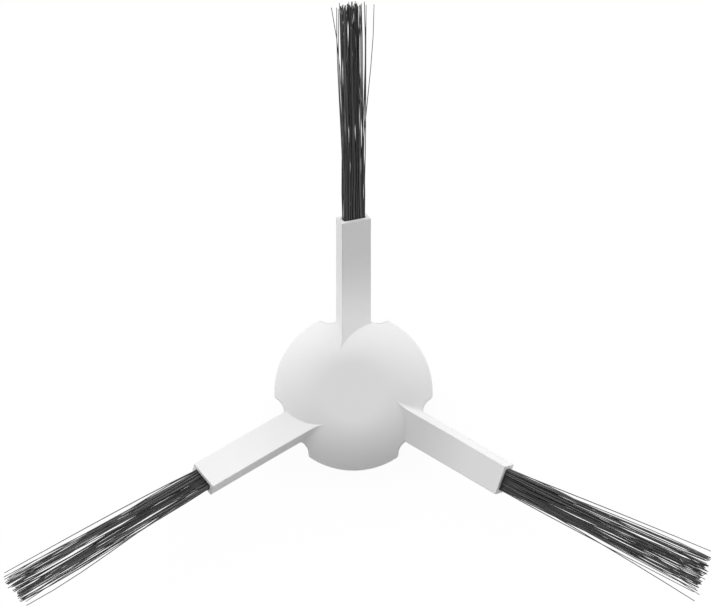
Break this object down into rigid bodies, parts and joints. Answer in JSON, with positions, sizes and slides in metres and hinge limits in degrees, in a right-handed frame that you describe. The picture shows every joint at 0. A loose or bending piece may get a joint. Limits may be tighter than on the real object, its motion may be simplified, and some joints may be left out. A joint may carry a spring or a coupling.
{
  "type": "robot vacuum side brush",
  "caption": "Robot vacuum side brush: domed hub with upswept, twisted tube arms, each holding a fanned tuft of stiff filaments, pushed onto a square drive shaft.",
  "frame": {"origin": "on the turning axis, at the mouth of the square drive socket, level with the cap's rim", "axes": "+Z along the turning axis, up through the crown of the dome; +Y along the first arm; the drive shaft enters from -Z"},
  "size_m": [0.1319, 0.1142, 0.0375],
  "materials": {
    "white_plastic": "satin white moulded plastic",
    "bristle_nylon": "near-black nylon filament with a soft sheen"
  },
  "bodies": {
    "root": {"hub": "white_plastic", "bristle_tuft_1": "bristle_nylon", "bristle_tuft_2": "bristle_nylon", "bristle_tuft_3": "bristle_nylon"}
  },
  "joints": []
}
